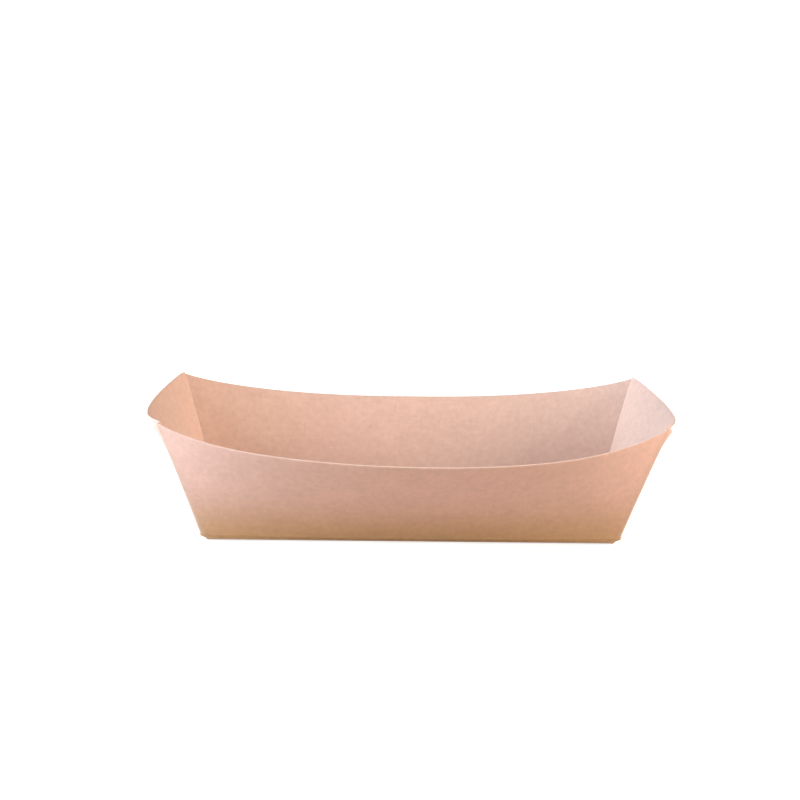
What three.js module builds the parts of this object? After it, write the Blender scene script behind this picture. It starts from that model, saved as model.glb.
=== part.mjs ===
// An open food tray folded from one die-cut sheet of kraft board.
// Millimetres. X runs along the long walls, Y across, Z up; the floor rests on z = 0.
// The middle surface of the sheet is a grid of closed loops, one above the other, from the
// edge of the floor up to the rim. Each loop runs along a long wall, round the corner, over
// the two layers of the corner web that lie flat on the outside of the end wall, and along
// the end wall. Half the board's thickness to either side of it gives the solid.
import * as THREE from "three";

// Board
const BOARD = 0.36; // thickness
const BOARD_COLOUR = 0xd9af93;
const BOARD_ROUGHNESS = 0.86;

// Main sizes, on the middle surface of the board
const FLOOR_LENGTH = 126;
const FLOOR_WIDTH = 51.9;
const RIM_LENGTH = 150; // between the corner creases at the top
const RIM_WIDTH = 84.4; // between the corner creases at the top
const CORNER_HEIGHT = 39;

// Long walls: bowed outwards and cut in a hollow curve along the top
const SIDE_BOW = 12.7;
const SIDE_BOW_POWER = 2.75;
const SIDE_BOW_RISE = 1.2; // how the bow grows with height, 1 is straight
const SIDE_DIP = 8.6;
const SIDE_DIP_POWER = 2.55;

// End walls: bowed outwards, most of it close to the rim, and a little lower at mid-width
const END_BOW = 7.6;
const END_BOW_POWER = 2;
const END_BOW_RISE = 3.3;
const END_DIP = 3.9;
const TIP_RISE = 2.2; // how far the corner of the end wall stands above the crease
const TIP_OUT = 0.5;
const TIP_REACH = 1.6; // length of rim over which the tip rises

// Folds, as radii of the middle surface
const PRESSED_RADIUS = 0.27; // the folds of a web that are pressed flat
const CORNER_RADIUS = 0.78; // long wall to outer web layer, round the end wall's pressed edge
const FLOOR_FOLD = 0.45; // how far the bend to the walls reaches into the floor

// The web opens out towards the floor, where its four creases meet
const WEB_START = 0.012; // share of the height at which the web begins to fold
const WEB_CLOSED = 0.085; // share of the height at which its layers lie flat
const LEG_START = 0.3; // length of a layer between its folds, where it begins
const WEB_CUT = 0.045; // how far its diagonal fold is cut short at the top, as a share of the height

// Divisions of the grid
const SIDE_STEPS = 9; // half a long wall
const END_STEPS = 6; // half an end wall
const LEG_STEPS = 3;
const CORNER_STEPS = 3;
const PRESSED_STEPS = 5;
const FLOOR_FOLD_STEPS = 3;
const WEB_OPEN_ROWS = 4; // rows over which the web folds
const LAID_SHARES = [0, 0.05, 0.14, 0.26, 0.4, 0.54, 0.67, 0.78, 0.87, 0.94, 1]; // rows of the walls above that
const SLOPE_STEP = 0.01; // step at which the slope of the end wall is taken

// Derived sizes
const HALF_BOARD = BOARD / 2;
const END_FLARE = (RIM_LENGTH - FLOOR_LENGTH) / 2;
const SIDE_FLARE = (RIM_WIDTH - FLOOR_WIDTH) / 2;
const WALL_RISE = CORNER_HEIGHT - HALF_BOARD;
const WEB = webShape();
const WALL_SHARES = wallShares();

// The web's own outline: its half angle follows from the angles of the walls beside it, and
// its top edge is the straight cut between the top corners of those two walls.
function webShape() {
  const crease = Math.hypot(END_FLARE, SIDE_FLARE, WALL_RISE);
  const sideLean = Math.atan2(END_FLARE, Math.hypot(SIDE_FLARE, WALL_RISE));
  const endLean = Math.atan2(SIDE_FLARE, Math.hypot(END_FLARE, WALL_RISE));
  const half = (Math.PI / 2 - sideLean - endLean) / 2;
  const fold = crease * Math.cos(half);
  const reach = SIDE_FLARE + fold * Math.sin(half - endLean);
  const drop = 1 - (fold * Math.cos(half - endLean)) / (crease * Math.cos(endLean));
  return { reach, drop };
}

// The shares of the height at which the walls have a row of points.
function wallShares() {
  const opening = Array.from(
    { length: WEB_OPEN_ROWS },
    (_, i) => WEB_START + ((WEB_CLOSED - WEB_START) * i) / WEB_OPEN_ROWS,
  );
  const laid = LAID_SHARES.map((share) => WEB_CLOSED + (1 - WEB_CLOSED) * share);
  return [...opening, ...laid];
}

function halfWidthAt(share) {
  return FLOOR_WIDTH / 2 + SIDE_FLARE * share;
}

function halfLengthAt(share) {
  return FLOOR_LENGTH / 2 + END_FLARE * share;
}

// A point of the end wall, by its distance from the middle of the wall and its share of the height.
function endWallPoint(y, share) {
  const halfWidth = halfWidthAt(share);
  const across = Math.abs(y) / halfWidth;
  const bow = 1 - across ** END_BOW_POWER;
  const tip = 1 - Math.exp(-Math.max(0, halfWidth - Math.abs(y)) / TIP_REACH);
  const out = (END_BOW * bow + TIP_OUT * tip) * share ** END_BOW_RISE;
  const rise = WALL_RISE - END_DIP * bow + TIP_RISE * tip;
  return new THREE.Vector3(halfLengthAt(share) + out, y, HALF_BOARD + rise * share);
}

// The direction out of the end wall at the same point.
function endWallNormal(y, share) {
  const across = endWallPoint(y + SLOPE_STEP, share).sub(endWallPoint(y - SLOPE_STEP, share));
  const below = endWallPoint(y, Math.max(0, share - SLOPE_STEP));
  const upwards = endWallPoint(y, share + SLOPE_STEP).sub(below);
  return across.cross(upwards).normalize();
}

// Adds steps of equal length to a path, which turns by the angle on the way.
function addSteps(path, angle, length, steps) {
  for (let i = 0; i < steps; i += 1) {
    path.heading += angle / steps / 2;
    path.out += (Math.cos(path.heading) * length) / steps;
    path.along += (Math.sin(path.heading) * length) / steps;
    path.heading += angle / steps / 2;
    path.points.push({ out: path.out, along: path.along });
  }
}

// The angle of the bend between the outer web layer and the long wall.
function cornerTurn(share) {
  const sideSlope = (SIDE_BOW * share ** SIDE_BOW_RISE * SIDE_BOW_POWER) / halfLengthAt(share);
  const endSlope = (END_BOW * share ** END_BOW_RISE * END_BOW_POWER) / halfWidthAt(share);
  return Math.PI / 2 - Math.atan(sideSlope) - Math.atan(endSlope);
}

// The corner seen from above, from the end wall's edge through the web to the long wall.
// Out is the distance outside the end wall, along is the distance from its edge towards its middle.
function cornerPath(share) {
  const fold = Math.PI * THREE.MathUtils.smoothstep(share, WEB_START, WEB_CLOSED);
  const laid = Math.max(0, share - WEB_CLOSED) / (1 - WEB_CLOSED);
  const leg = LEG_START + WEB.reach * laid;
  const turn = cornerTurn(share);
  const pressed = Math.PI * PRESSED_RADIUS;
  const start = { out: 0, along: 0 };
  const path = { ...start, heading: -Math.PI / 2, points: [start] };
  addSteps(path, fold, pressed, PRESSED_STEPS);
  addSteps(path, 0, leg, LEG_STEPS);
  addSteps(path, -fold, pressed, PRESSED_STEPS);
  addSteps(path, 0, leg, LEG_STEPS);
  addSteps(path, -turn, CORNER_RADIUS * turn, CORNER_STEPS);
  const crease = path.along - path.out / Math.tan(turn);
  return { points: path.points, crease, leg, laid };
}

// One quarter of a loop, from the middle of a long wall to the middle of an end wall.
function quarterLoop(share) {
  const corner = cornerPath(share);
  const edge = halfWidthAt(share) + corner.crease;
  const onWall = ({ out, along }) => {
    const y = edge - along;
    const slant = THREE.MathUtils.clamp(along / corner.leg, 0, 1) * corner.laid;
    const level = share * (1 - (WEB.drop + WEB_CUT) * slant);
    return endWallPoint(y, level).addScaledVector(endWallNormal(y, level), out);
  };
  const web = corner.points.map(onWall).reverse();
  const side = sideHalf(web[0], share);
  const end = [];
  for (let i = 1; i <= END_STEPS; i += 1) end.push(endWallPoint(edge * (1 - i / END_STEPS), share));
  return [...side, ...web, ...end];
}

// Half of a long wall, from its middle to just before the corner bend.
function sideHalf(corner, share) {
  const points = [];
  for (let i = 0; i < SIDE_STEPS; i += 1) {
    const across = i / SIDE_STEPS;
    const bow = SIDE_BOW * share ** SIDE_BOW_RISE * (1 - across ** SIDE_BOW_POWER);
    const dip = SIDE_DIP * share * (1 - across ** SIDE_DIP_POWER);
    points.push(new THREE.Vector3(corner.x * across, corner.y + bow, corner.z - dip));
  }
  return points;
}

// The whole loop: the quarter and its three mirror images, clockwise from above.
function fullLoop(share) {
  const quarter = quarterLoop(share);
  const mirrored = (sx, sy) => quarter.map((p) => new THREE.Vector3(sx * p.x, sy * p.y, p.z));
  const first = mirrored(1, 1);
  const second = mirrored(1, -1).reverse();
  const third = mirrored(-1, -1);
  const fourth = mirrored(-1, 1).reverse();
  return [first, second, third, fourth].flatMap((part) => part.slice(0, -1));
}

// The edge of the flat floor and the bend up to the first loop of the walls.
function floorLoops(firstWall) {
  const base = fullLoop(0);
  const count = base.length;
  const inner = base.map((point, i) => {
    const across = base[(i + 1) % count].clone().sub(base[(i + count - 1) % count]);
    const inwards = new THREE.Vector3(across.y, -across.x, 0).normalize();
    return point.clone().addScaledVector(inwards, FLOOR_FOLD);
  });
  const loops = [];
  for (let k = 0; k < FLOOR_FOLD_STEPS; k += 1) {
    const share = k / FLOOR_FOLD_STEPS;
    loops.push(
      base.map((point, i) => new THREE.QuadraticBezierCurve3(inner[i], point, firstWall[i]).getPoint(share)),
    );
  }
  return loops;
}

function middleSurface() {
  const walls = WALL_SHARES.map(fullLoop);
  return [...floorLoops(walls[0]), ...walls];
}

// The unit direction into the tray at a point of the grid, from the four neighbours.
function inwardNormal(loops, row, column) {
  if (row === 0) return new THREE.Vector3(0, 0, 1);
  const loop = loops[row];
  const count = loop.length;
  const here = loop[column];
  const before = here.clone().sub(loop[(column + count - 1) % count]).normalize();
  const after = loop[(column + 1) % count].clone().sub(here).normalize();
  const below = here.clone().sub(loops[row - 1][column]).normalize();
  const above = row + 1 < loops.length ? loops[row + 1][column].clone().sub(here).normalize() : below;
  const along = before.clone().add(after);
  return along.cross(below.clone().add(above)).normalize();
}

// The two faces of the board, one on each side of the middle surface.
function boardFaces(loops) {
  const inside = [];
  const outside = [];
  loops.forEach((loop, row) =>
    loop.forEach((point, column) => {
      const normal = inwardNormal(loops, row, column);
      inside.push(point.clone().addScaledVector(normal, HALF_BOARD));
      outside.push(point.clone().addScaledVector(normal, -HALF_BOARD));
    }),
  );
  return { inside, outside };
}

// Triangles of the walls, the floor and the cut edge along the rim.
function boardTriangles(rows, count) {
  const offset = rows * count;
  const floorInside = 2 * offset;
  const floorOutside = floorInside + 1;
  const triangles = [];
  for (let c = 0; c < count; c += 1) {
    const n = (c + 1) % count;
    triangles.push([floorInside, n, c], [floorOutside, offset + c, offset + n]);
    for (let r = 0; r + 1 < rows; r += 1) {
      const [a, b, d, e] = [r * count + c, r * count + n, (r + 1) * count + n, (r + 1) * count + c];
      triangles.push([a, b, d], [a, d, e]);
      triangles.push([offset + a, offset + d, offset + b], [offset + a, offset + e, offset + d]);
    }
    const [p, q] = [(rows - 1) * count + c, (rows - 1) * count + n];
    triangles.push([p, q, offset + q], [p, offset + q, offset + p]);
  }
  return triangles;
}

function trayGeometry() {
  const loops = middleSurface();
  const { inside, outside } = boardFaces(loops);
  const points = [...inside, ...outside, new THREE.Vector3(0, 0, BOARD), new THREE.Vector3(0, 0, 0)];
  const geometry = new THREE.BufferGeometry().setFromPoints(points);
  geometry.setIndex(boardTriangles(loops.length, loops[0].length).flat());
  geometry.computeVertexNormals();
  return geometry;
}

function foldedTray() {
  const material = new THREE.MeshStandardMaterial({
    color: BOARD_COLOUR,
    roughness: BOARD_ROUGHNESS,
    metalness: 0,
  });
  const mesh = new THREE.Mesh(trayGeometry(), material);
  mesh.name = "folded_tray";
  return mesh;
}

const part = new THREE.Group();
part.name = "food_tray";
part.add(foldedTray());

export default part;
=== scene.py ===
"""Dresses the folded kraft board food tray: one finely modelled sheet and its board finish.

It also lays a pale floor and hangs soft lamps. Everything is in metres in the frame of the
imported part: X along the long walls, Y across, Z up.
"""

import logging
import math
from dataclasses import dataclass, field
from enum import Enum

import bpy
import numpy as np
from mathutils import Matrix, Vector


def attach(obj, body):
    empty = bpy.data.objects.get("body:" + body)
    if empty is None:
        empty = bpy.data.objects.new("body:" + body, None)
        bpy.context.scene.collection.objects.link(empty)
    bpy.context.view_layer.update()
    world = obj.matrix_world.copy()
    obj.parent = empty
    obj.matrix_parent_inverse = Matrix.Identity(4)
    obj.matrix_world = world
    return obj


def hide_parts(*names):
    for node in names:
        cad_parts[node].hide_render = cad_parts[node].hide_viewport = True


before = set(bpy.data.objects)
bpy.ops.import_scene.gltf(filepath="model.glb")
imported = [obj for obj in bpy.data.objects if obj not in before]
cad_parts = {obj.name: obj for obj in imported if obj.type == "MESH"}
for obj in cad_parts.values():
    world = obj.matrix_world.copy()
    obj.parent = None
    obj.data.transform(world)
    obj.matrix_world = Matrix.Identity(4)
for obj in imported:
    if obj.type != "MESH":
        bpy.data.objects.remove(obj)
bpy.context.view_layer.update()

LOG = logging.getLogger("food_tray")
MM = 0.001
PICTURE_PIXELS = 800


class Mask(Enum):
    """Point attributes of the sheet that its finish reads, by their attribute names."""

    CUT_EDGE = "cut_edge"
    FOLD_LINE = "fold_line"
    INSIDE = "inside_face"
    # where the painted shade of the corner slits lies
    SLIT_SHADE = "corner_slit_shade"


@dataclass(frozen=True)
class ViewPoint:
    """Where the picture is taken from, as an aim point, a distance and angles."""

    aim: tuple[float, float, float] = (-0.0035, 0.0, 0.0397)
    distance: float = 0.6456
    elevation_deg: float = 11.16
    swing_deg: float = -0.956
    roll_deg: float = 0.868
    focal_pixels: float = 2029.6
    sensor: float = 36.0

    def place(self) -> bpy.types.Object:
        """Makes the camera and hands it to the scene.

        Returns:
            The camera object.
        """
        data = bpy.data.cameras.new("view")
        data.sensor_width = self.sensor
        data.lens = self.focal_pixels * self.sensor / PICTURE_PIXELS
        data.clip_start = 0.02
        data.clip_end = 20.0
        camera = bpy.data.objects.new("view", data)
        rise, swing = math.radians(self.elevation_deg), math.radians(self.swing_deg)
        turn = Matrix.Rotation(swing, 3, "Z")
        right = turn @ Vector((1.0, 0.0, 0.0))
        ahead = turn @ Vector((0.0, math.cos(rise), -math.sin(rise)))
        upwards = right.cross(ahead)
        roll = math.radians(self.roll_deg)
        side = right * math.cos(roll) + upwards * math.sin(roll)
        top = upwards * math.cos(roll) - right * math.sin(roll)
        axes = Matrix((side, top, -ahead)).transposed().to_4x4()
        camera.matrix_world = Matrix.Translation(Vector(self.aim) - ahead * self.distance) @ axes
        bpy.context.scene.collection.objects.link(camera)
        bpy.context.scene.camera = camera
        return camera


@dataclass(frozen=True)
class SoftLamp:
    """A large square lamp that points at the tray."""

    name: str
    place: tuple[float, float, float]
    size: float
    watts: float
    colour: tuple[float, float, float]
    aim: tuple[float, float, float] = (0.0, 0.0, 0.02)

    def hang(self) -> bpy.types.Object:
        """Makes the lamp and turns it to its aim point.

        Returns:
            The lamp object.
        """
        data = bpy.data.lights.new(self.name, "AREA")
        data.shape = "SQUARE"
        data.size = self.size
        data.energy = self.watts
        data.color = self.colour
        lamp = bpy.data.objects.new(self.name, data)
        lamp.location = self.place
        toward = Vector(self.aim) - Vector(self.place)
        lamp.rotation_euler = toward.to_track_quat("-Z", "Y").to_euler()
        bpy.context.scene.collection.objects.link(lamp)
        return lamp


@dataclass(frozen=True)
class Studio:
    """A pale floor, a white surround and soft, slightly tinted lamps.

    The surround and the floor are brighter to the camera than the light they give.
    """

    floor_size: float = 6.0
    floor_drop: float = 0.0002
    floor_colour: tuple[float, float, float] = (0.5, 0.46, 0.4)
    floor_roughness: float = 0.9
    floor_glow: float = 0.75
    far_glow: float = 1.1
    glow_from: float = 0.1
    glow_to: float = 0.5
    surround_colour: tuple[float, float, float] = (1.0, 1.0, 1.0)
    surround_light: float = 0.2
    surround_seen: float = 1.1
    lamps: tuple[SoftLamp, ...] = (
        SoftLamp("key_low", (-1.0, -0.25, 0.12), 0.5, 21.0, (0.62, 0.84, 1.0)),
        SoftLamp("key_mid", (-0.95, -0.3, 0.55), 0.5, 13.1, (0.76, 0.89, 1.0)),
        SoftLamp("fill_right", (0.75, -0.85, 0.35), 0.5, 5.8, (1.0, 0.96, 0.82)),
        SoftLamp("side", (1.0, -0.2, 0.4), 0.5, 12.8, (0.98, 1.0, 0.94)),
        SoftLamp("back_left", (-0.8, 0.7, 0.45), 0.5, 6.0, (0.2, 0.6, 1.0)),
    )

    def build(self) -> None:
        """Sets up the surround, the floor and the lamps."""
        world = bpy.data.worlds.new("surround")
        world.use_nodes = True
        background = world.node_tree.nodes["Background"]
        background.inputs["Color"].default_value = (*self.surround_colour, 1.0)
        bench = NodeBench(world.node_tree)
        seen = bench.add("ShaderNodeLightPath").outputs["Is Camera Ray"]
        extra = bench.maths("MULTIPLY", seen, self.surround_seen - self.surround_light)
        bench.feed(background, "Strength", bench.maths("ADD", extra, self.surround_light))
        bpy.context.scene.world = world
        bpy.context.scene.view_settings.view_transform = "Standard"
        for lamp in self.lamps:
            lamp.hang()
        self.lay_floor()

    def lay_floor(self) -> bpy.types.Object:
        """Lays the floor just under the tray.

        Returns:
            The floor object.
        """
        half, level = self.floor_size / 2, -self.floor_drop
        mesh = bpy.data.meshes.new("floor")
        corners = [(-half, -half, level), (half, -half, level), (half, half, level), (-half, half, level)]
        mesh.from_pydata(corners, [], [(0, 1, 2, 3)])
        floor = bpy.data.objects.new("floor", mesh)
        mesh.materials.append(self.floor_material())
        bpy.context.scene.collection.objects.link(floor)
        return floor

    def floor_material(self) -> bpy.types.Material:
        """Makes the floor's material, whose glow to the camera grows away from the tray.

        Returns:
            The material.
        """
        material = bpy.data.materials.new("pale_floor")
        material.use_nodes = True
        shader = material.node_tree.nodes["Principled BSDF"]
        shader.inputs["Base Color"].default_value = (*self.floor_colour, 1.0)
        shader.inputs["Roughness"].default_value = self.floor_roughness
        shader.inputs["Emission Color"].default_value = (1.0, 1.0, 1.0, 1.0)
        bench = NodeBench(material.node_tree)
        seen = bench.add("ShaderNodeLightPath").outputs["Is Camera Ray"]
        place = bench.add("ShaderNodeTexCoord").outputs["Object"]
        away = bench.add("ShaderNodeVectorMath", operation="LENGTH")
        bench.feed(away, 0, place)
        distance = away.outputs["Value"]
        glow = bench.span(distance, self.glow_from, self.glow_to, self.floor_glow, self.far_glow)
        bench.feed(shader, "Emission Strength", bench.maths("MULTIPLY", seen, glow))
        return material


class NodeBench:
    """Short calls for adding and joining shader nodes in one tree."""

    def __init__(self, tree: bpy.types.NodeTree) -> None:
        """Keeps the tree to work on."""
        self.tree = tree

    def add(self, kind: str, **values: object) -> bpy.types.Node:
        """Adds a node and sets its properties.

        Args:
            kind: Blender's name of the node type.
            values: Properties of the node to set.

        Returns:
            The new node.
        """
        node = self.tree.nodes.new(kind)
        for name, value in values.items():
            setattr(node, name, value)
        return node

    def feed(self, node: bpy.types.Node, socket: str | int, source: object) -> None:
        """Joins a socket to a source, or sets it to a plain value."""
        target = node.inputs[socket]
        if isinstance(source, bpy.types.NodeSocket):
            self.tree.links.new(source, target)
        else:
            target.default_value = source

    def maths(self, operation: str, first: object, second: object) -> bpy.types.NodeSocket:
        """Adds a Math node.

        Args:
            operation: Blender's name of the operation.
            first: The first operand, a socket or a number.
            second: The second operand, a socket or a number.

        Returns:
            The node's output socket.
        """
        node = self.add("ShaderNodeMath", operation=operation)
        self.feed(node, 0, first)
        self.feed(node, 1, second)
        return node.outputs[0]

    def span(
        self, value: object, low: float, high: float, to_low: float = 0.0, to_high: float = 1.0
    ) -> bpy.types.NodeSocket:
        """Adds a smooth Map Range node.

        Args:
            value: The socket to map.
            low: The value that gives to_low.
            high: The value that gives to_high.
            to_low: The result at and below low.
            to_high: The result at and above high.

        Returns:
            The node's output socket.
        """
        node = self.add("ShaderNodeMapRange", interpolation_type="SMOOTHSTEP", clamp=True)
        limits = {"From Min": low, "From Max": high, "To Min": to_low, "To Max": to_high}
        for name, number in limits.items():
            node.inputs[name].default_value = number
        self.feed(node, "Value", value)
        return node.outputs[0]

    def noise(
        self, place: object, scale: float, detail: float, roughness: float = 0.5
    ) -> bpy.types.NodeSocket:
        """Adds a noise texture and gives its value."""
        node = self.add("ShaderNodeTexNoise")
        self.feed(node, "Vector", place)
        node.inputs["Scale"].default_value = scale
        node.inputs["Detail"].default_value = detail
        node.inputs["Roughness"].default_value = roughness
        return node.outputs[0]

    def stretch(
        self, place: object, factors: tuple[float, float, float], turn: tuple[float, float, float]
    ) -> bpy.types.NodeSocket:
        """Adds a Mapping node that turns and stretches a place."""
        node = self.add("ShaderNodeMapping")
        self.feed(node, "Vector", place)
        node.inputs["Rotation"].default_value = turn
        node.inputs["Scale"].default_value = factors
        return node.outputs[0]

    def blend(
        self, share: object, first: object, second: object, mode: str = "MIX"
    ) -> bpy.types.NodeSocket:
        """Adds a colour Mix node.

        Args:
            share: How much of the second colour is used.
            first: The first colour, a socket or four numbers.
            second: The second colour, a socket or four numbers.
            mode: Blender's name of the blend mode.

        Returns:
            The mixed colour.
        """
        node = self.add("ShaderNodeMix", data_type="RGBA", blend_type=mode)
        self.feed(node, 0, share)
        self.feed(node, 6, first)
        self.feed(node, 7, second)
        return node.outputs[2]


@dataclass(frozen=True)
class KraftGrain:
    """The grain of kraft board, as a node group: cloudy blotches, long fibres and sparse specks."""

    blotch_scale: float = 520.0
    cloud_scale: float = 130.0
    fibre_scale: float = 300.0
    fuzz_scale: float = 2600.0
    speck_scale: float = 900.0
    pale_scale_share: float = 0.8
    blotch_weight: float = 0.22
    cloud_weight: float = 0.12
    fibre_weight: float = 0.15
    fuzz_weight: float = 0.06
    fibre_height: float = 0.6
    fuzz_height: float = 0.5
    speck_from: float = 0.74
    speck_to: float = 0.80

    def group(self) -> bpy.types.NodeTree:
        """Makes the node group.

        The shade is one plus the blotches, the clouds and the fibres, each centred on zero and
        weighted. The height is the same fibres and a fine fuzz. The specks are the rare peaks of
        a fine noise.

        Returns:
            The group, with Place in and Shade, Height, Dark Specks and Pale Specks out.
        """
        tree = bpy.data.node_groups.new("kraft_grain", "ShaderNodeTree")
        tree.interface.new_socket("Place", in_out="INPUT", socket_type="NodeSocketVector")
        for name in ("Shade", "Height", "Dark Specks", "Pale Specks"):
            tree.interface.new_socket(name, in_out="OUTPUT", socket_type="NodeSocketFloat")
        bench = NodeBench(tree)
        place = bench.add("NodeGroupInput").outputs["Place"]
        blotch = bench.noise(place, self.blotch_scale, 3.0, 0.55)
        cloud = bench.noise(place, self.cloud_scale, 2.0)
        along = bench.stretch(place, (1.0, 5.0, 5.0), (0.0, 0.0, 0.25))
        across = bench.stretch(place, (5.0, 1.2, 1.2), (0.2, 0.1, -0.35))
        along_fibre = bench.noise(along, self.fibre_scale, 4.0, 0.65)
        across_fibre = bench.noise(across, self.fibre_scale, 4.0, 0.65)
        fibre = bench.maths("ADD", along_fibre, across_fibre)
        fuzz = bench.noise(place, self.fuzz_scale, 2.0)
        weights = (
            (blotch, 0.5, self.blotch_weight),
            (cloud, 0.5, self.cloud_weight),
            (fibre, 1.0, self.fibre_weight),
            (fuzz, 0.5, self.fuzz_weight),
        )
        shade: object = 1.0
        for socket, middle, weight in weights:
            part = bench.maths("MULTIPLY", bench.maths("SUBTRACT", socket, middle), weight)
            shade = bench.maths("ADD", shade, part)
        raised = bench.maths("MULTIPLY", fibre, self.fibre_height)
        height = bench.maths("ADD", raised, bench.maths("MULTIPLY", fuzz, self.fuzz_height))
        dots = bench.noise(along, self.speck_scale, 1.0)
        pale = bench.noise(across, self.speck_scale * self.pale_scale_share, 1.0)
        out = bench.add("NodeGroupOutput")
        bench.feed(out, "Shade", shade)
        bench.feed(out, "Height", height)
        bench.feed(out, "Dark Specks", bench.span(dots, self.speck_from, self.speck_to))
        bench.feed(out, "Pale Specks", bench.span(pale, self.speck_from, self.speck_to))
        return tree


@dataclass(frozen=True)
class KraftBoard:
    """Uncoated kraft board.

    The outer face carries painted light and shade by height: it is painted darker and golden near the
    floor folds, as painted shade, and paler and pinker towards the rim, as painted light. The inner face
    has one shade.
    """

    # colours of the painted shade near the floor and of the painted light towards the rim, and the heights
    # between which one turns into the other
    painted_shade_low_colour: tuple[float, float, float] = (0.545, 0.297, 0.14)
    painted_light_high_colour: tuple[float, float, float] = (0.705, 0.398, 0.317)
    inside_colour: tuple[float, float, float] = (0.572, 0.336, 0.256)
    edge_colour: tuple[float, float, float] = (0.63, 0.40, 0.32)
    fold_colour: tuple[float, float, float] = (0.60, 0.38, 0.29)
    # the dark colour of the painted shade in the corner slits
    slit_shade_colour: tuple[float, float, float] = (0.16, 0.08, 0.05)
    speck_colour: tuple[float, float, float] = (0.22, 0.12, 0.06)
    pale_speck_colour: tuple[float, float, float] = (0.90, 0.74, 0.62)
    painted_shade_low_z: float = -0.003
    painted_light_high_z: float = 0.021
    fold_share: float = 0.55
    slit_shade_share: float = 0.7
    speck_share: float = 0.35
    roughness: float = 0.82
    specular: float = 0.3
    bump_strength: float = 0.5
    grain_depth: float = 0.00003
    grain: KraftGrain = field(default_factory=KraftGrain)

    def material(self, name: str) -> bpy.types.Material:
        """Makes the board's material.

        Args:
            name: The material's name.

        Returns:
            The material.
        """
        material = bpy.data.materials.new(name)
        material.use_nodes = True
        bench = NodeBench(material.node_tree)
        shader = material.node_tree.nodes["Principled BSDF"]
        place = bench.add("ShaderNodeTexCoord").outputs["Object"]
        grain = bench.add("ShaderNodeGroup", node_tree=self.grain.group())
        bench.feed(grain, "Place", place)
        parts = bench.add("ShaderNodeSeparateXYZ")
        bench.feed(parts, 0, place)
        # painted light and shade by height: the outer face goes darker and golden towards the floor and
        # paler and pinker towards the rim
        level = bench.span(parts.outputs["Z"], self.painted_shade_low_z, self.painted_light_high_z)
        body = bench.blend(level, (*self.painted_shade_low_colour, 1.0), (*self.painted_light_high_colour, 1.0))
        body = bench.blend(self.mask(bench, Mask.INSIDE), body, (*self.inside_colour, 1.0))
        fold = bench.maths("MULTIPLY", self.mask(bench, Mask.FOLD_LINE), self.fold_share)
        body = bench.blend(fold, body, (*self.fold_colour, 1.0))
        # painted shade: a dark colour laid in the corner slit beside each end wall's pressed bend, where
        # shade falls
        slit_shade = bench.maths("MULTIPLY", self.mask(bench, Mask.SLIT_SHADE), self.slit_shade_share)
        body = bench.blend(slit_shade, body, (*self.slit_shade_colour, 1.0))
        body = bench.blend(self.mask(bench, Mask.CUT_EDGE), body, (*self.edge_colour, 1.0))
        body = bench.blend(1.0, body, grain.outputs["Shade"], "MULTIPLY")
        specks = bench.maths("MULTIPLY", grain.outputs["Dark Specks"], self.speck_share)
        body = bench.blend(specks, body, (*self.speck_colour, 1.0))
        pale = bench.maths("MULTIPLY", grain.outputs["Pale Specks"], self.speck_share)
        body = bench.blend(pale, body, (*self.pale_speck_colour, 1.0))
        bump = bench.add("ShaderNodeBump")
        bump.inputs["Strength"].default_value = self.bump_strength
        bump.inputs["Distance"].default_value = self.grain_depth
        bench.feed(bump, "Height", grain.outputs["Height"])
        bench.feed(shader, "Base Color", body)
        bench.feed(shader, "Normal", bump.outputs[0])
        shader.inputs["Roughness"].default_value = self.roughness
        shader.inputs["Specular IOR Level"].default_value = self.specular
        return material

    @staticmethod
    def mask(bench: NodeBench, mask: Mask) -> bpy.types.NodeSocket:
        """Reads one of the sheet's point attributes."""
        return bench.add("ShaderNodeAttribute", attribute_name=mask.value).outputs["Fac"]


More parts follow.
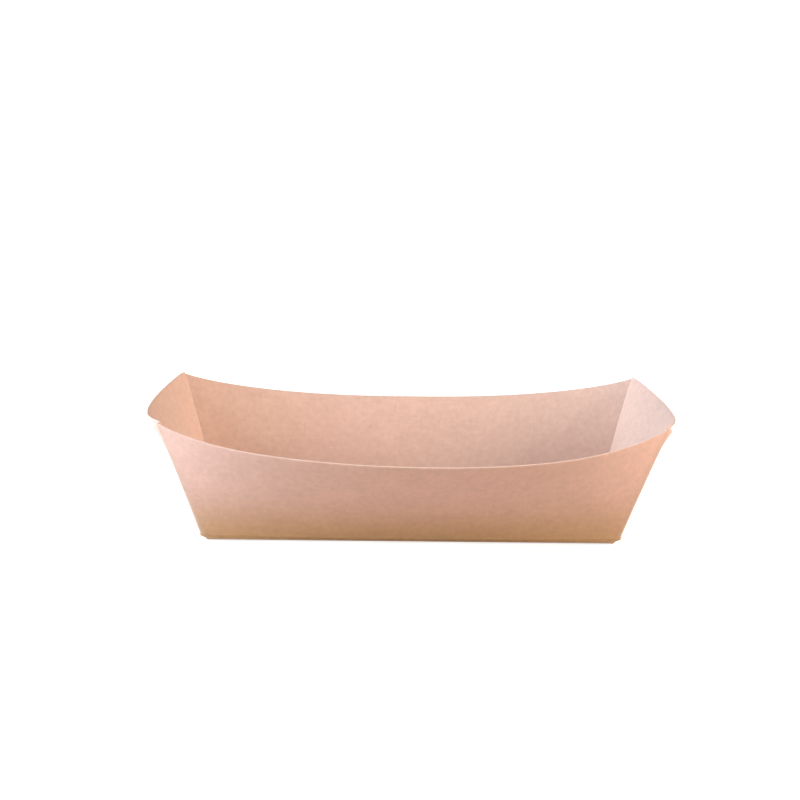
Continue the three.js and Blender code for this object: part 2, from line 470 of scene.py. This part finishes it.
@dataclass(frozen=True)
class FoldedSheet:
    """The tray as one folded sheet, in millimetres.

    Its sizes are the solid's, apart from the tips and the ends of the long rims, which are lifted
    to meet each other, and a small wave of the front rim. The middle surface is a grid: a column
    is a place along the loop that runs round the tray, a row is a share of the height. Half the
    board's thickness to each side gives its two faces.
    """

    board: float = 0.36
    floor_length: float = 126.0
    floor_width: float = 51.9
    rim_length: float = 150.0
    rim_width: float = 84.4
    corner_height: float = 39.0
    side_bow: float = 12.7
    side_bow_power: float = 2.75
    side_bow_rise: float = 1.2
    side_dip: float = 8.6
    side_dip_power: float = 2.55
    end_bow: float = 7.6
    end_bow_power: float = 2.0
    end_bow_rise: float = 3.3
    end_dip: float = 3.9
    tip_rise: float = 1.95
    tip_share: float = 0.55
    side_lift_reach: float = 7.0
    front_raise: float = 0.6
    front_raise_at: float = -33.0
    front_lower: float = 0.6
    front_lower_at: float = 60.0
    front_wave_width: float = 24.0
    front_fade_power: int = 6
    tip_out: float = 0.5
    tip_reach: float = 1.6
    pressed_radius: float = 0.27
    corner_radius: float = 0.78
    floor_fold: float = 0.45
    web_start: float = 0.012
    web_closed: float = 0.085
    leg_start: float = 0.3
    web_cut: float = 0.045
    side_steps: int = 44
    end_steps: int = 26
    leg_steps: int = 10
    corner_steps: int = 6
    pressed_steps: int = 7
    wall_rows: int = 46
    opening_rows: int = 12
    fold_rows: int = 6
    edge_sides: tuple[float, ...] = (0.93, 0.75, 0.4, 0.0, -0.4, -0.75, -0.93)
    edge_rises: tuple[float, ...] = (0.03, 0.055, 0.065, 0.065, 0.065, 0.055, 0.03)
    floor_shares: tuple[float, ...] = (0.04, 0.3, 0.6, 0.85)
    # where the painted shade of the corner slits lies on the sheet
    slit_columns: int = 3
    slit_rows_below: int = 8
    slit_rows_above: int = 5

    @property
    def half_board(self) -> float:
        """Half the board's thickness."""
        return self.board / 2

    @property
    def end_flare(self) -> float:
        """How far each end wall leans out at its crease."""
        return (self.rim_length - self.floor_length) / 2

    @property
    def side_flare(self) -> float:
        """How far each long wall leans out at its crease."""
        return (self.rim_width - self.floor_width) / 2

    @property
    def wall_rise(self) -> float:
        """The height of the middle surface between floor and corner."""
        return self.corner_height - self.half_board

    def web(self) -> tuple[float, float]:
        """The reach and the drop of a web's top edge.

        The web's half angle is half of what the two wall angles leave of a right angle, and its
        top edge is the straight cut between the two walls' top corners.

        Returns:
            The reach along the end wall, and the drop as a share of the height.
        """
        crease = math.sqrt(self.end_flare**2 + self.side_flare**2 + self.wall_rise**2)
        side_lean = math.atan2(self.end_flare, math.hypot(self.side_flare, self.wall_rise))
        end_lean = math.atan2(self.side_flare, math.hypot(self.end_flare, self.wall_rise))
        half = (math.pi / 2 - side_lean - end_lean) / 2
        fold = crease * math.cos(half)
        reach = self.side_flare + fold * math.sin(half - end_lean)
        drop = 1 - fold * math.cos(half - end_lean) / (crease * math.cos(end_lean))
        return reach, drop

    def end_wall(self, y: np.ndarray, share: np.ndarray) -> np.ndarray:
        """Points of the end wall's middle surface.

        The bow is one minus a power of the place across the wall, and grows with a power of the
        height. The rim dips with the bow, and is lifted at its edge and, by a short exponential
        step, a little more at the tip.

        Args:
            y: Distance from the middle of the wall.
            share: Share of the height.

        Returns:
            Points, with the coordinates in the last axis.
        """
        half_width = self.floor_width / 2 + self.side_flare * share
        bow = 1 - (np.abs(y) / half_width) ** self.end_bow_power
        tip = 1 - np.exp(-np.maximum(0.0, half_width - np.abs(y)) / self.tip_reach)
        out = (self.end_bow * bow + self.tip_out * tip) * share**self.end_bow_rise
        lift = self.tip_rise * (self.tip_share + (1 - self.tip_share) * tip)
        rise = self.wall_rise - self.end_dip * bow + lift
        x = self.floor_length / 2 + self.end_flare * share + out
        return np.stack([x, y, self.half_board + rise * share], axis=-1)

    def end_wall_normal(self, y: np.ndarray, share: np.ndarray) -> np.ndarray:
        """The direction out of the end wall, from small steps across and up it."""
        step = 0.01
        across = self.end_wall(y + step, share) - self.end_wall(y - step, share)
        upwards = self.end_wall(y, share + step) - self.end_wall(y, np.maximum(0.0, share - step))
        normal = np.cross(across, upwards)
        return normal / np.linalg.norm(normal, axis=-1, keepdims=True)

    def corner_turn(self, share: np.ndarray) -> np.ndarray:
        """The angle of the bend between the outer web layer and the long wall."""
        half_length = self.floor_length / 2 + self.end_flare * share
        half_width = self.floor_width / 2 + self.side_flare * share
        side_slope = self.side_bow * share**self.side_bow_rise * self.side_bow_power / half_length
        end_slope = self.end_bow * share**self.end_bow_rise * self.end_bow_power / half_width
        return math.pi / 2 - np.arctan(side_slope) - np.arctan(end_slope)

    def corner_path(self, share: np.ndarray) -> tuple[np.ndarray, np.ndarray, np.ndarray, np.ndarray]:
        """The corner from above, from the end wall's edge over the web to the long wall.

        A row of steps, each with a heading and a length, is summed up: a bend that presses the
        first layer back, the inner layer, the bend on the web's diagonal, the outer layer, and
        the bend to the long wall.

        Args:
            share: Shares of the height, one for each row.

        Returns:
            Distance outside the end wall, distance from its edge, the crease's place and how
            much of the web's slant each point has.
        """
        rows = len(share)
        opening = self.web_closed - self.web_start
        blend = np.clip((share - self.web_start) / opening, 0, 1)
        fold = math.pi * blend * blend * (3 - 2 * blend)
        reach, _ = self.web()
        laid = np.maximum(0.0, share - self.web_closed) / (1 - self.web_closed)
        leg = self.leg_start + reach * laid
        turn = self.corner_turn(share)
        pressed = np.full(rows, math.pi * self.pressed_radius)
        stretches = (
            (fold, pressed, self.pressed_steps),
            (np.zeros(rows), leg, self.leg_steps),
            (-fold, pressed, self.pressed_steps),
            (np.zeros(rows), leg, self.leg_steps),
            (-turn, self.corner_radius * turn, self.corner_steps),
        )
        heading = np.full(rows, -math.pi / 2)
        headings, lengths = [], []
        for angle, length, steps in stretches:
            shares = (np.arange(steps) + 0.5) / steps
            headings.append(heading[:, None] + angle[:, None] * shares)
            lengths.append(np.repeat((length / steps)[:, None], steps, axis=1))
            heading = heading + angle
        directions, chords = np.concatenate(headings, axis=1), np.concatenate(lengths, axis=1)
        start = np.zeros((rows, 1))
        out = np.concatenate([start, np.cumsum(np.cos(directions) * chords, axis=1)], axis=1)
        along = np.concatenate([start, np.cumsum(np.sin(directions) * chords, axis=1)], axis=1)
        crease = along[:, -1] - out[:, -1] / np.tan(turn)
        slant = np.clip(along / leg[:, None], 0, 1) * laid[:, None]
        return out, along, crease, slant

    def quarter(self, share: np.ndarray) -> np.ndarray:
        """A quarter of every loop, from the middle of a long wall to the middle of an end wall.

        The long wall's bow and dip are one minus a power of the place along it. Its rim falls
        away exponentially from the lifted corner.

        Args:
            share: Shares of the height, one for each row.

        Returns:
            Points by row and column.
        """
        out, along, crease, slant = self.corner_path(share)
        _, drop = self.web()
        half_width = self.floor_width / 2 + self.side_flare * share
        edge = half_width + crease
        y = edge[:, None] - along
        level = share[:, None] * (1 - (drop + self.web_cut) * slant)
        web = self.end_wall(y, level) + self.end_wall_normal(y, level) * out[..., None]
        web = web[:, ::-1]
        across = np.arange(self.side_steps) / self.side_steps
        corner = web[:, :1]
        bow = self.side_bow * share[:, None] ** self.side_bow_rise * (1 - across**self.side_bow_power)
        dip = self.side_dip * share[:, None] * (1 - across**self.side_dip_power)
        away = (1 - across) * self.rim_length / 2
        lift = self.tip_rise * self.tip_share * share[:, None]
        dip = dip + lift * (1 - np.exp(-away / self.side_lift_reach))
        side = np.stack([corner[..., 0] * across, corner[..., 1] + bow, corner[..., 2] - dip], axis=-1)
        shares = np.arange(1, self.end_steps + 1) / self.end_steps
        levels = np.repeat(share[:, None], self.end_steps, axis=1)
        end = self.end_wall(edge[:, None] * (1 - shares), levels)
        return np.concatenate([side, web, end], axis=1)

    def loops(self, share: np.ndarray) -> np.ndarray:
        """Whole loops, clockwise from above: the quarter and its three mirror images."""
        quarter = self.quarter(share)
        first = quarter[:, :-1]
        second = (quarter * (1, -1, 1))[:, ::-1][:, :-1]
        third = (quarter * (-1, -1, 1))[:, :-1]
        fourth = (quarter * (-1, 1, 1))[:, ::-1][:, :-1]
        return np.concatenate([first, second, third, fourth], axis=1)

    def warp(self, walls: np.ndarray, share: np.ndarray) -> np.ndarray:
        """Lets the front wall's rim wave a little, as the pictured sheet does.

        A raised and a lowered bell curve along the wall grow with the height and fade out before
        the corners, by one minus a power of the place along the wall.

        Args:
            walls: Points by row and column.
            share: Shares of the height, one for each row.

        Returns:
            The moved points.
        """
        x, y = walls[..., 0], walls[..., 1]
        half_length = (self.floor_length / 2 + self.end_flare * share)[:, None]
        fade = 1 - np.clip(np.abs(x) / half_length, 0, 1) ** self.front_fade_power
        raised = np.exp(-(((x - self.front_raise_at) / self.front_wave_width) ** 2))
        lowered = np.exp(-(((x - self.front_lower_at) / self.front_wave_width) ** 2))
        wave = self.front_raise * raised - self.front_lower * lowered
        moved = walls.copy()
        moved[..., 2] += np.where(y < 0, wave * fade * share[:, None], 0.0)
        return moved

    def middle_surface(self) -> np.ndarray:
        """The whole middle surface, from the edge of the flat floor to the rim.

        The bend from the floor to a wall is a quadratic curve between a point on the floor, the
        fold line and the first row of the wall.

        Returns:
            Points by row and column.
        """
        low = np.linspace(self.web_start, self.web_closed, self.opening_rows)
        steps = np.linspace(0, 1, self.wall_rows - self.opening_rows + 1)[1:]
        high = self.web_closed + (1 - self.web_closed) * steps
        shares = np.concatenate([low, high])
        walls = self.warp(self.loops(shares), shares)
        base = self.loops(np.zeros(1))[0]
        inset = 2 * self.floor_fold / np.array([self.floor_length, self.floor_width, np.inf])
        inner = base * (1 - inset)
        t = (np.arange(self.fold_rows) / self.fold_rows)[:, None, None]
        bend = inner * (1 - t) ** 2 + base * 2 * t * (1 - t) + walls[0] * t**2
        return np.concatenate([bend, walls], axis=0)

    def normals(self, surface: np.ndarray) -> np.ndarray:
        """Unit directions into the tray, from the mean step along the loop and the mean step up.

        Args:
            surface: Points by row and column.

        Returns:
            Unit vectors by row and column.
        """

        def unit(v: np.ndarray) -> np.ndarray:
            """Scales vectors to length one."""
            return v / np.linalg.norm(v, axis=-1, keepdims=True)

        after = unit(np.roll(surface, -1, axis=1) - surface)
        along = after + np.roll(after, 1, axis=1)
        rise = unit(surface[1:] - surface[:-1])
        upwards = np.concatenate([rise[:1], rise[:-1] + rise[1:], rise[-1:]], axis=0)
        normal = unit(np.cross(along, upwards))
        normal[0] = (0.0, 0.0, 1.0)
        return normal

    def skin(self) -> tuple[np.ndarray, dict[Mask, np.ndarray]]:
        """The whole skin as one grid of loops, with its masks.

        It runs from the middle of the floor over the inner face up to the rim, over the slightly
        rounded cut edge and down the outer face to the middle of the floor's underside.

        Returns:
            Points by row and column, and each mask by row and column.
        """
        surface = self.middle_surface()
        normal = self.normals(surface)
        inner = surface + normal * self.half_board
        outer = surface - normal * self.half_board
        top, top_normal = surface[-1], normal[-1]
        upwards = surface[-1] - surface[-2]
        upwards /= np.linalg.norm(upwards, axis=-1, keepdims=True)
        sides = np.array(self.edge_sides)[:, None, None] * self.half_board
        rises = np.array(self.edge_rises)[:, None, None]
        edge = top + top_normal * sides + upwards * rises
        floor_shares = np.array(self.floor_shares)[:, None, None] * (1, 1, 0) + (0, 0, 1)
        floor_inner = inner[:1] * floor_shares
        floor_outer = outer[:1] * floor_shares[::-1]
        rows = np.concatenate([floor_inner, inner, edge, outer[::-1], floor_outer], axis=0)
        return rows, self.masks(len(surface), rows.shape[:2])

    def masks(self, wall_rows: int, shape: tuple[int, int]) -> dict[Mask, np.ndarray]:
        """The masks over the whole skin, each one on its own rows and zero elsewhere.

        Args:
            wall_rows: Rows of the middle surface.
            shape: Rows and columns of the skin.

        Returns:
            Each mask by row and column.
        """
        masks = {mask: np.zeros(shape) for mask in Mask}
        floor = len(self.floor_shares)
        rim = floor + wall_rows
        below = rim + len(self.edge_sides)
        folds = self.fold_mask(wall_rows, shape[1])
        masks[Mask.CUT_EDGE][rim:below] = 1.0
        masks[Mask.FOLD_LINE][floor:rim] = folds
        masks[Mask.FOLD_LINE][below : below + wall_rows] = folds[::-1]
        masks[Mask.INSIDE][:rim] = 1.0
        masks[Mask.SLIT_SHADE][floor:rim] = self.slit_shade_mask(wall_rows, shape[1])
        return masks

    def fold_mask(self, rows: int, count: int) -> np.ndarray:
        """One on the floor folds and on the corner creases, zero on the flats."""
        quarter = np.zeros(count // 4)
        corner = self.side_steps
        quarter[corner : corner + self.corner_steps + 1] = 1.0
        pressed = corner + self.corner_steps + self.leg_steps
        quarter[pressed : pressed + self.pressed_steps + 1] = 1.0
        last = pressed + self.pressed_steps + self.leg_steps
        quarter[last : last + self.pressed_steps + 1] = 1.0
        back = np.roll(quarter[::-1], 1)
        loop = np.concatenate([quarter, back, quarter, back])
        mask = np.tile(loop, (rows, 1))
        mask[1 : self.fold_rows] = 1.0
        return mask

    def slit_shade_mask(self, rows: int, count: int) -> np.ndarray:
        """One on the last columns of the pressed bend at each end wall's edge, where a dark colour is
        painted as the shade in the corner slit, zero elsewhere.

        The lowest rows, over the floor fold, and the highest ones, under the rim, stay zero.
        """
        quarter = np.zeros(count // 4)
        last = self.side_steps + self.corner_steps + self.pressed_steps + 2 * self.leg_steps
        wall = last + self.pressed_steps
        quarter[wall - self.slit_columns : wall] = 1.0
        back = np.roll(quarter[::-1], 1)
        mask = np.tile(np.concatenate([quarter, back, quarter, back]), (rows, 1))
        mask[: self.fold_rows + self.slit_rows_below] = 0.0
        mask[-self.slit_rows_above :] = 0.0
        return mask

    def build(self, finish: KraftBoard) -> bpy.types.Object:
        """Makes the sheet's mesh, its masks and its finish.

        Args:
            finish: The board's finish.

        Returns:
            The sheet's object.
        """
        grid, masks = self.skin()
        rows, count = grid.shape[:2]
        points = np.concatenate([grid.reshape(-1, 3), [[0, 0, self.board], [0, 0, 0]]]) * MM
        r, c = np.meshgrid(np.arange(rows - 1), np.arange(count), indexing="ij")
        n = (c + 1) % count
        quads = np.stack([r * count + c, r * count + n, (r + 1) * count + n, (r + 1) * count + c], axis=-1)
        top, under = rows * count, rows * count + 1
        ring = np.arange(count)
        after = (ring + 1) % count
        last = (rows - 1) * count
        upper_cap = np.stack([np.full(count, top), after, ring], axis=-1)
        under_cap = np.stack([np.full(count, under), last + ring, last + after], axis=-1)
        faces = quads.reshape(-1, 4).tolist() + upper_cap.tolist() + under_cap.tolist()
        mesh = bpy.data.meshes.new("folded_sheet")
        mesh.from_pydata(points.tolist(), [], faces)
        mesh.shade_smooth()
        for mask, values in masks.items():
            attribute = mesh.attributes.new(mask.value, "FLOAT", "POINT")
            flat = np.concatenate([values.ravel(), [0.0, 0.0]]).astype(np.float32)
            attribute.data.foreach_set("value", flat)
        mesh.materials.append(finish.material("kraft_board"))
        mesh.update()
        sheet = bpy.data.objects.new("folded_sheet", mesh)
        bpy.context.scene.collection.objects.link(sheet)
        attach(sheet, "root")
        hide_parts("folded_tray")
        return sheet


def main() -> None:
    """Builds the view, the studio and the tray, in that order."""
    logging.basicConfig(level=logging.INFO, format="%(name)s: %(message)s")
    ViewPoint().place()
    Studio().build()
    sheet = FoldedSheet().build(KraftBoard())
    LOG.info("%s: %d points, %d faces", sheet.name, len(sheet.data.vertices), len(sheet.data.polygons))


if __name__ == "__main__":
    main()
